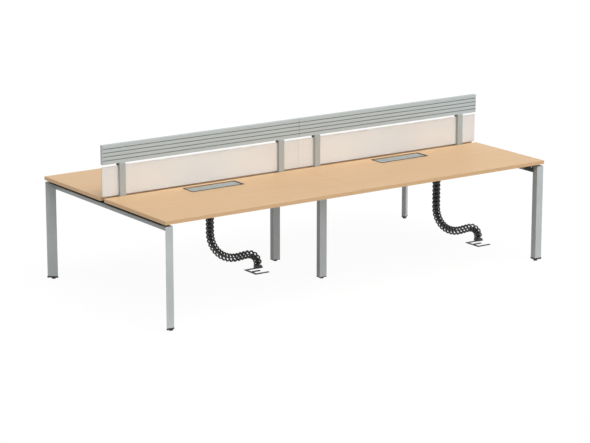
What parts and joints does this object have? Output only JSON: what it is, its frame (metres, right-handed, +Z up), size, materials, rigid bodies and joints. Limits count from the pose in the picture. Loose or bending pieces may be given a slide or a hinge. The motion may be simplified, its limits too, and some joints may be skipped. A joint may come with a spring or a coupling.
{
  "type": "bench desk",
  "caption": "Shared bench desk with facing worktops, a low glass screen with a grooved rail, lidded cable slots, cable trays and link-chain cable risers on mitred legs.",
  "frame": {"origin": "point of the floor under the middle of the desk", "axes": "+X along the desk to the right as seen from the front row, -Y towards the front row, +Z up"},
  "size_m": [3.2, 1.6, 1.1],
  "materials": {
    "wood": "pale beech-coloured board, matt",
    "frame_paint": "silver-grey powder coat",
    "bolt_steel": "zinc plated",
    "aluminium": "satin anodised",
    "rail_aluminium": "satin anodised",
    "frosted_glass": "satin frosted",
    "grey_plastic": "matt grey moulding",
    "dark_plastic": "matt charcoal moulding",
    "riser_plastic": "matt black moulding",
    "floor_plate_paint": "dark grey powder coat"
  },
  "bodies": {
    "desk": {"beam_bolts": "bolt_steel", "beam_front_left": "frame_paint", "beam_front_right": "frame_paint", "beam_plates": "frame_paint", "beam_rear_left": "frame_paint", "beam_rear_right": "frame_paint", "cable_tray_left": "frame_paint", "cable_tray_right": "frame_paint", "corner_screws": "bolt_steel", "edge_bands": "wood", "end_bar_left": "frame_paint", "end_bar_right": "frame_paint", "flap_frame_front_left": "dark_plastic", "flap_frame_front_right": "dark_plastic", "flap_frame_rear_left": "dark_plastic", "flap_frame_rear_right": "dark_plastic", "flap_pins": "bolt_steel", "leg_caps": "dark_plastic", "leg_front_left": "frame_paint", "leg_front_right": "frame_paint", "leg_rear_left": "frame_paint", "leg_rear_right": "frame_paint", "middle_bar": "frame_paint", "middle_leg_front": "frame_paint", "middle_leg_rear": "frame_paint", "panel_clips": "dark_plastic", "post_plates": "frame_paint", "rail_end_caps": "grey_plastic", "rail_joiner": "rail_aluminium", "riser_collars": "riser_plastic", "riser_ends": "riser_plastic", "riser_links_left": "riser_plastic", "riser_links_right": "riser_plastic", "riser_plate_left": "floor_plate_paint", "riser_plate_right": "floor_plate_paint", "screen_panel_left": "frosted_glass", "screen_panel_right": "frosted_glass", "screen_post_end_left": "aluminium", "screen_post_end_right": "aluminium", "screen_post_middle_left": "aluminium", "screen_post_middle_right": "aluminium", "screen_rail_left": "rail_aluminium", "screen_rail_right": "rail_aluminium", "top_front_left": "wood", "top_front_right": "wood", "top_rear_left": "wood", "top_rear_right": "wood", "top_spacers": "dark_plastic", "tray_hangers": "frame_paint"},
    "flap_lid_front_left_body": {"flap_lid_front_left": "aluminium"},
    "flap_lid_front_right_body": {"flap_lid_front_right": "aluminium"},
    "flap_lid_rear_left_body": {"flap_lid_rear_left": "aluminium"},
    "flap_lid_rear_right_body": {"flap_lid_rear_right": "aluminium"},
    "foot_front_left_body": {"foot_front_left": "dark_plastic"},
    "foot_front_middle_body": {"foot_front_middle": "dark_plastic"},
    "foot_front_right_body": {"foot_front_right": "dark_plastic"},
    "foot_rear_left_body": {"foot_rear_left": "dark_plastic"},
    "foot_rear_middle_body": {"foot_rear_middle": "dark_plastic"},
    "foot_rear_right_body": {"foot_rear_right": "dark_plastic"}
  },
  "joints": [
    {"name": "open_flap_front_left", "type": "hinge", "parent": "desk", "child": "flap_lid_front_left_body", "pos_m": [-0.80025, -0.088, 0.733], "axis": [-1, 0, 0], "range_deg": [0, 95]},
    {"name": "open_flap_front_right", "type": "hinge", "parent": "desk", "child": "flap_lid_front_right_body", "pos_m": [0.80025, -0.088, 0.733], "axis": [-1, 0, 0], "range_deg": [0, 95]},
    {"name": "open_flap_rear_left", "type": "hinge", "parent": "desk", "child": "flap_lid_rear_left_body", "pos_m": [-0.80025, 0.088, 0.733], "axis": [1, 0, 0], "range_deg": [0, 95]},
    {"name": "open_flap_rear_right", "type": "hinge", "parent": "desk", "child": "flap_lid_rear_right_body", "pos_m": [0.80025, 0.088, 0.733], "axis": [1, 0, 0], "range_deg": [0, 95]},
    {"name": "level_foot_front_left", "type": "slide", "parent": "desk", "child": "foot_front_left_body", "axis": [0, 0, -1], "range_m": [0, 0.015]},
    {"name": "level_foot_front_middle", "type": "slide", "parent": "desk", "child": "foot_front_middle_body", "axis": [0, 0, -1], "range_m": [0, 0.015]},
    {"name": "level_foot_front_right", "type": "slide", "parent": "desk", "child": "foot_front_right_body", "axis": [0, 0, -1], "range_m": [0, 0.015]},
    {"name": "level_foot_rear_left", "type": "slide", "parent": "desk", "child": "foot_rear_left_body", "axis": [0, 0, -1], "range_m": [0, 0.015]},
    {"name": "level_foot_rear_middle", "type": "slide", "parent": "desk", "child": "foot_rear_middle_body", "axis": [0, 0, -1], "range_m": [0, 0.015]},
    {"name": "level_foot_rear_right", "type": "slide", "parent": "desk", "child": "foot_rear_right_body", "axis": [0, 0, -1], "range_m": [0, 0.015]}
  ]
}
